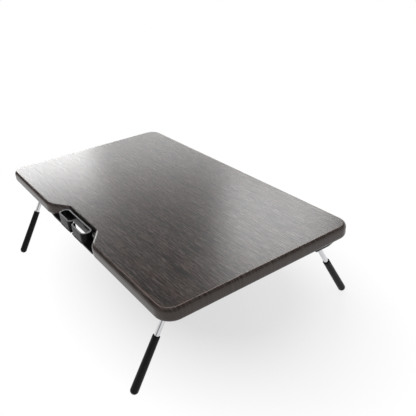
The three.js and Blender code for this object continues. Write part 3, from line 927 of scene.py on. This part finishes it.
def makeScrew(name, node):
    low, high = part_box(node)
    part = screwPart((low.x + high.x) / 2, (low.y + high.y) / 2, low.z + screw["headHeight"])
    makePiece(name, part, finishes["screw"], "board", [node])


for end, signY in (("rear", 1), ("front", -1)):
    for hand, signX in (("right", -1), ("left", 1)):
        vertices, faces = bracketPart(signX, signY)
        place = np.array([feet[end, hand], signY * hingeY, hingeHeight])
        node, name = f"{end}_{hand}_bracket", f"{end}{hand.capitalize()}Bracket"
        makePiece(name, (vertices + place, faces), finishes["bracket"], "board", [node])
        for number in (1, 2):
            makeScrew(f"{name}Screw{number}", f"{node}_screw_{number}")
for number in (1, 2, 3, 4):
    makeScrew(f"clipScrew{number}", f"cable_clip_screw_{number}")
print("brackets and screws done")


studio = {
    "floorColour": (0.86, 0.86, 0.855),
    "floorReach": 12.0,            # metres
    "floorDrop": 0.2 * mm,         # keeps it just clear of the feet
    "floorRoughness": 0.9,
    "floorSpecular": 0.1,
    "shownWhite": 0.62,            # share of plain white that the floor shows under the object
    "shadowMiddle": (-0.05, -0.03),
    "shadowSize": (0.29, 0.19),    # half axes in metres of the oval where that share has grown to 1
    "shadowCore": 0.45,            # as a share of that oval
    "worldStrength": 0.6,
    "ceilingRise": (0.36, 0.46),   # sine of the elevation over which the mirrored studio dims
    "ceilingStrength": 0.15,
    "darkSides": [
        # a direction, the cosines at which its shade starts and is full, and what is left of the
        # white there
        ((-0.74, 0.67, 0.0), 0.50, 0.85, 0.3),
        ((0.90, 0.33, 0.29), 0.91, 0.95, 0.04),
    ],
    "lampDistance": 2.0,
}
softboxes = {
    # azimuth from +X and elevation in degrees, width and height in metres, radiance
    "window": (-8, 14, 0.75, 0.6, 6.3),
    "fill": (-30, 14, 0.75, 0.6, 1.7),
    "key": (-48.5, 32, 0.57, 0.6, 5.2),
    "overhead": (60, 80, 1.0, 1.0, 0.9),
}


def whiteRays(tree):
    # 1 for the rays that show the studio itself: seen directly, in a reflection or through glass
    rays = tree.nodes.new("ShaderNodeLightPath").outputs
    first = combined(tree, "MAXIMUM", rays["Is Camera Ray"], rays["Is Glossy Ray"])
    return combined(tree, "MAXIMUM", first, rays["Is Transmission Ray"])


def makeFloor():
    # Plain white mixed over the paper that takes the shadow. The white's share depends on the
    # length of (place - middle) / size, which is 1 on the shadow's oval.
    reach = studio["floorReach"]
    square = [(-reach, -reach, 0), (reach, -reach, 0), (reach, reach, 0), (-reach, reach, 0)]
    mesh = bpy.data.meshes.new("floor")
    mesh.from_pydata(square, [], [(0, 1, 2, 3)])
    floor = bpy.data.objects.new("floor", mesh)
    bpy.context.scene.collection.objects.link(floor)
    material, tree, shader = newMaterial("floorPaper")
    shader.inputs["Base Color"].default_value = (*studio["floorColour"], 1.0)
    shader.inputs["Roughness"].default_value = studio["floorRoughness"]
    shader.inputs["Specular IOR Level"].default_value = studio["floorSpecular"]
    place = addNode(tree, "ShaderNodeTexCoord").outputs["Object"]
    fromMiddle = addNode(tree, "ShaderNodeVectorMath", {0: place, 1: (*studio["shadowMiddle"], 0.0)},
                         operation="SUBTRACT").outputs["Vector"]
    inOval = addNode(tree, "ShaderNodeVectorMath", {0: fromMiddle, 1: (*studio["shadowSize"], 1.0)},
                     operation="DIVIDE").outputs["Vector"]
    distance = addNode(tree, "ShaderNodeVectorMath", {0: inOval}, operation="LENGTH").outputs["Value"]
    share = spread(tree, distance, studio["shadowCore"], 1.0, studio["shownWhite"], 1.0)
    share = combined(tree, "MULTIPLY", share, whiteRays(tree))
    white = addNode(tree, "ShaderNodeEmission", {"Color": (1, 1, 1, 1), "Strength": 1.0})
    mix = addNode(tree, "ShaderNodeMixShader", {0: share, 1: shader.outputs[0], 2: white.outputs[0]})
    tree.links.new(mix.outputs[0], nodeOfType(tree, "OUTPUT_MATERIAL").inputs["Surface"])
    mesh.materials.append(material)
    floor.location.z = -studio["floorDrop"]


def makeWorld():
    # Seen directly the studio is white. Mirrored it is white at the horizon and dims towards the
    # ceiling and the dark sides.
    world = bpy.data.worlds.new("studio")
    bpy.context.scene.world = world
    world.use_nodes = True
    tree = world.node_tree
    tree.nodes.clear()
    out = tree.nodes.new("ShaderNodeOutputWorld")
    rays = tree.nodes.new("ShaderNodeLightPath").outputs
    direction = addNode(tree, "ShaderNodeTexCoord").outputs["Generated"]
    rise = addNode(tree, "ShaderNodeSeparateXYZ", {"Vector": direction}).outputs["Z"]
    mirrored = spread(tree, rise, *studio["ceilingRise"], 1.0, studio["ceilingStrength"])
    for side, outer, inner, left in studio["darkSides"]:
        towards = addNode(tree, "ShaderNodeVectorMath", {0: direction, 1: side},
                          operation="DOT_PRODUCT").outputs["Value"]
        shade = spread(tree, towards, outer, inner, 1.0, left)
        mirrored = combined(tree, "MULTIPLY", mirrored, shade)

    def background(strength):
        return addNode(tree, "ShaderNodeBackground", {
            "Color": (1, 1, 1, 1), "Strength": strength}).outputs[0]

    shown = background(studio["worldStrength"])
    for kind, strength in (("Is Glossy Ray", mirrored), ("Is Transmission Ray", mirrored),
                           ("Is Camera Ray", 1.0)):
        shown = addNode(tree, "ShaderNodeMixShader", {
            0: rays[kind], 1: shown, 2: background(strength)}).outputs[0]
    tree.links.new(shown, out.inputs["Surface"])


def makeSoftbox(name, azimuth, elevation, width, height, radiance):
    # A lamp that faces the middle of the board. Its power is radiance * pi * area.
    azimuth, elevation = math.radians(azimuth), math.radians(elevation)
    ray = Vector((math.cos(azimuth) * math.cos(elevation), math.sin(azimuth) * math.cos(elevation),
                  math.sin(elevation)))
    data = bpy.data.lights.new(name, "AREA")
    data.shape = "RECTANGLE"
    data.size, data.size_y = width, height
    data.energy = radiance * math.pi * width * height
    lamp = bpy.data.objects.new(name, data)
    bpy.context.scene.collection.objects.link(lamp)
    lamp.location = ray * studio["lampDistance"] + Vector((0, 0, topHeight))
    lamp.rotation_euler = (-ray).to_track_quat("-Z", "Y").to_euler()
    lamp.visible_camera = False


makeFloor()
makeWorld()
for boxName, boxValues in softboxes.items():
    makeSoftbox(boxName + "Softbox", *boxValues)
print("floor and light done")

scene = bpy.context.scene
scene.view_settings.view_transform = "Standard"
